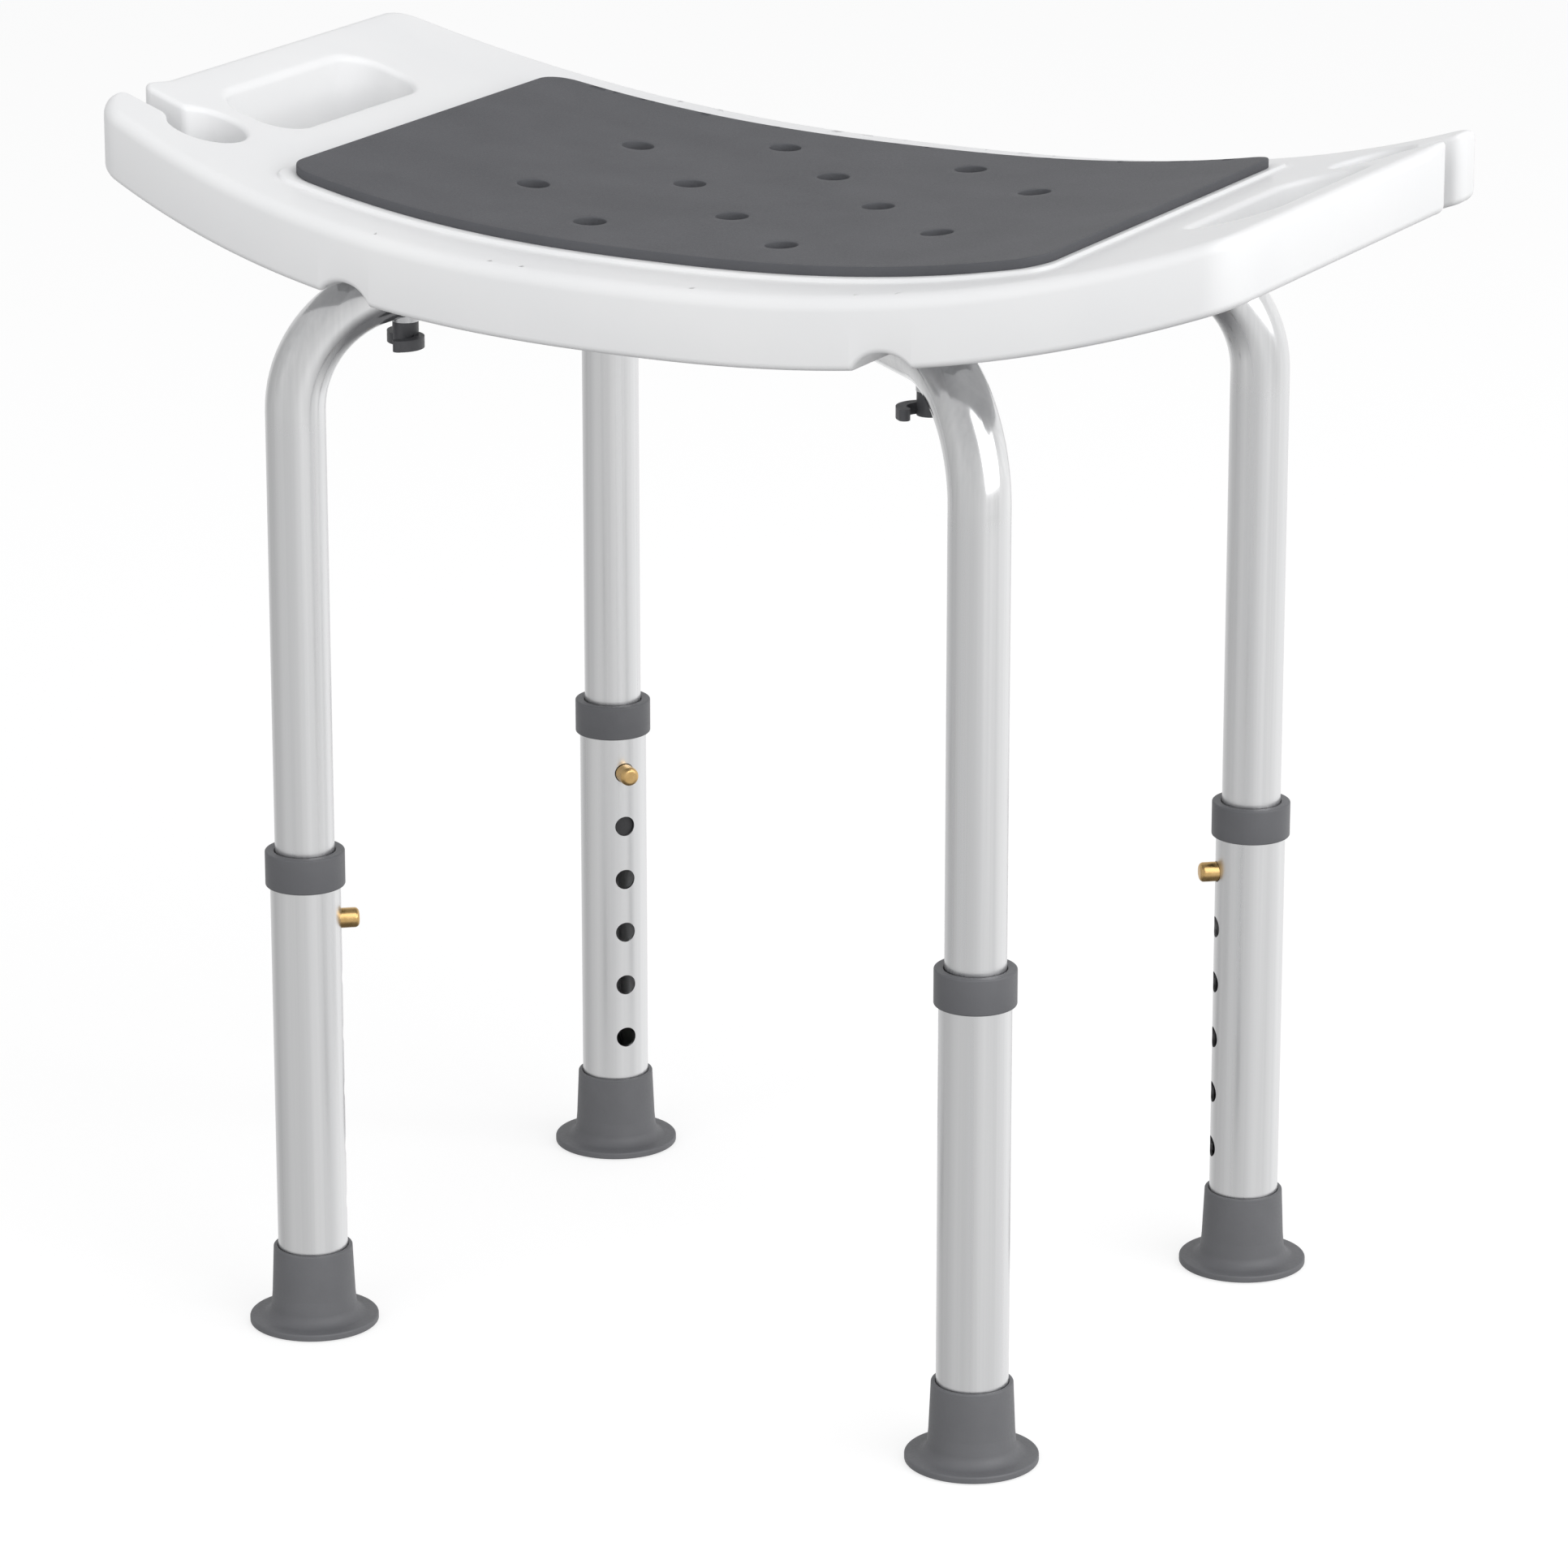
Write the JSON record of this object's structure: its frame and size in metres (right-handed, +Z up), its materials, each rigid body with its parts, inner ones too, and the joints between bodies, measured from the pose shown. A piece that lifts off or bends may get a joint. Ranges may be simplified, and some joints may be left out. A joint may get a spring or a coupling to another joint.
{
  "type": "shower stool",
  "caption": "Height-adjustable shower stool: dished seat with foam pad, grip slots and hand-shower keyholes, on bent tube legs with snap-button adjustment and flared feet.",
  "frame": {"origin": "on the floor, under the middle of the seat", "axes": "+X along the seat's length, towards the right end; +Y to the back; +Z up"},
  "size_m": [0.53, 0.3136, 0.5255],
  "materials": {
    "seat_plastic": "satin",
    "pad_foam": "matte closed-cell foam",
    "tube_aluminium": "satin anodised",
    "grey_plastic": "satin",
    "foot_rubber": "matte",
    "dark_plastic": "matte",
    "knob_plastic": "satin",
    "button_brass": "satin",
    "insert_brass": "satin",
    "steel": "zinc plated"
  },
  "bodies": {
    "seat": {"seat_shell": "seat_plastic", "seat_pad": "pad_foam", "seat_inserts": "insert_brass", "saddle_washers": "steel", "tube_end_plugs": "dark_plastic", "upper_tube_fl": "tube_aluminium", "upper_tube_fr": "tube_aluminium", "upper_tube_bl": "tube_aluminium", "upper_tube_br": "tube_aluminium", "guide_bush_fl": "dark_plastic", "guide_bush_fr": "dark_plastic", "guide_bush_bl": "dark_plastic", "guide_bush_br": "dark_plastic", "button_spring_fl": "steel", "button_spring_fr": "steel", "button_spring_bl": "steel", "button_spring_br": "steel"},
    "leg_fl": {"lower_tube_fl": "tube_aluminium", "collar_fl": "grey_plastic", "foot_fl": "foot_rubber", "foot_disc_fl": "steel"},
    "button_fl": {"snap_button_fl": "button_brass"},
    "knob_fl": {"knob_fl": "knob_plastic", "knob_bolt_fl": "steel"},
    "leg_fr": {"lower_tube_fr": "tube_aluminium", "collar_fr": "grey_plastic", "foot_fr": "foot_rubber", "foot_disc_fr": "steel"},
    "button_fr": {"snap_button_fr": "button_brass"},
    "knob_fr": {"knob_fr": "knob_plastic", "knob_bolt_fr": "steel"},
    "leg_bl": {"lower_tube_bl": "tube_aluminium", "collar_bl": "grey_plastic", "foot_bl": "foot_rubber", "foot_disc_bl": "steel"},
    "button_bl": {"snap_button_bl": "button_brass"},
    "knob_bl": {"knob_bl": "knob_plastic", "knob_bolt_bl": "steel"},
    "leg_br": {"lower_tube_br": "tube_aluminium", "collar_br": "grey_plastic", "foot_br": "foot_rubber", "foot_disc_br": "steel"},
    "button_br": {"snap_button_br": "button_brass"},
    "knob_br": {"knob_br": "knob_plastic", "knob_bolt_br": "steel"}
  },
  "joints": [
    {"name": "height_fl", "type": "slide", "parent": "seat", "child": "leg_fl", "axis": [0, 0, 1], "range_m": [0, 0.127], "deforming": ["snap_button_fl", "button_spring_fl"]},
    {"name": "height_fr", "type": "slide", "parent": "seat", "child": "leg_fr", "axis": [0, 0, 1], "range_m": [0, 0.127], "deforming": ["snap_button_fr", "button_spring_fr"]},
    {"name": "height_bl", "type": "slide", "parent": "seat", "child": "leg_bl", "axis": [0, 0, 1], "range_m": [0, 0.127], "deforming": ["snap_button_bl", "button_spring_bl"]},
    {"name": "height_br", "type": "slide", "parent": "seat", "child": "leg_br", "axis": [0, 0, 1], "range_m": [0, 0.127], "deforming": ["snap_button_br", "button_spring_br"]},
    {"name": "press_fl", "type": "slide", "parent": "seat", "child": "button_fl", "axis": [-0.7771, -0.6293, 0], "range_m": [0, 0.009], "stiffness_N_per_m": 1200},
    {"name": "press_fr", "type": "slide", "parent": "seat", "child": "button_fr", "axis": [0.7771, -0.6293, 0], "range_m": [0, 0.009], "stiffness_N_per_m": 1200},
    {"name": "press_bl", "type": "slide", "parent": "seat", "child": "button_bl", "axis": [-0.7771, 0.6293, 0], "range_m": [0, 0.009], "stiffness_N_per_m": 1200},
    {"name": "press_br", "type": "slide", "parent": "seat", "child": "button_br", "axis": [0.7771, 0.6293, 0], "range_m": [0, 0.009], "stiffness_N_per_m": 1200},
    {"name": "knob_turn_fl", "type": "hinge", "parent": "seat", "child": "knob_fl", "pos_m": [-0.12336, -0.10102, 0.4342], "axis": [0, 0, 1], "continuous": true},
    {"name": "knob_turn_fr", "type": "hinge", "parent": "seat", "child": "knob_fr", "pos_m": [0.12336, -0.10102, 0.4342], "axis": [0, 0, 1], "continuous": true},
    {"name": "knob_turn_bl", "type": "hinge", "parent": "seat", "child": "knob_bl", "pos_m": [-0.12336, 0.10102, 0.4342], "axis": [0, 0, 1], "continuous": true},
    {"name": "knob_turn_br", "type": "hinge", "parent": "seat", "child": "knob_br", "pos_m": [0.12336, 0.10102, 0.4342], "axis": [0, 0, 1], "continuous": true}
  ]
}
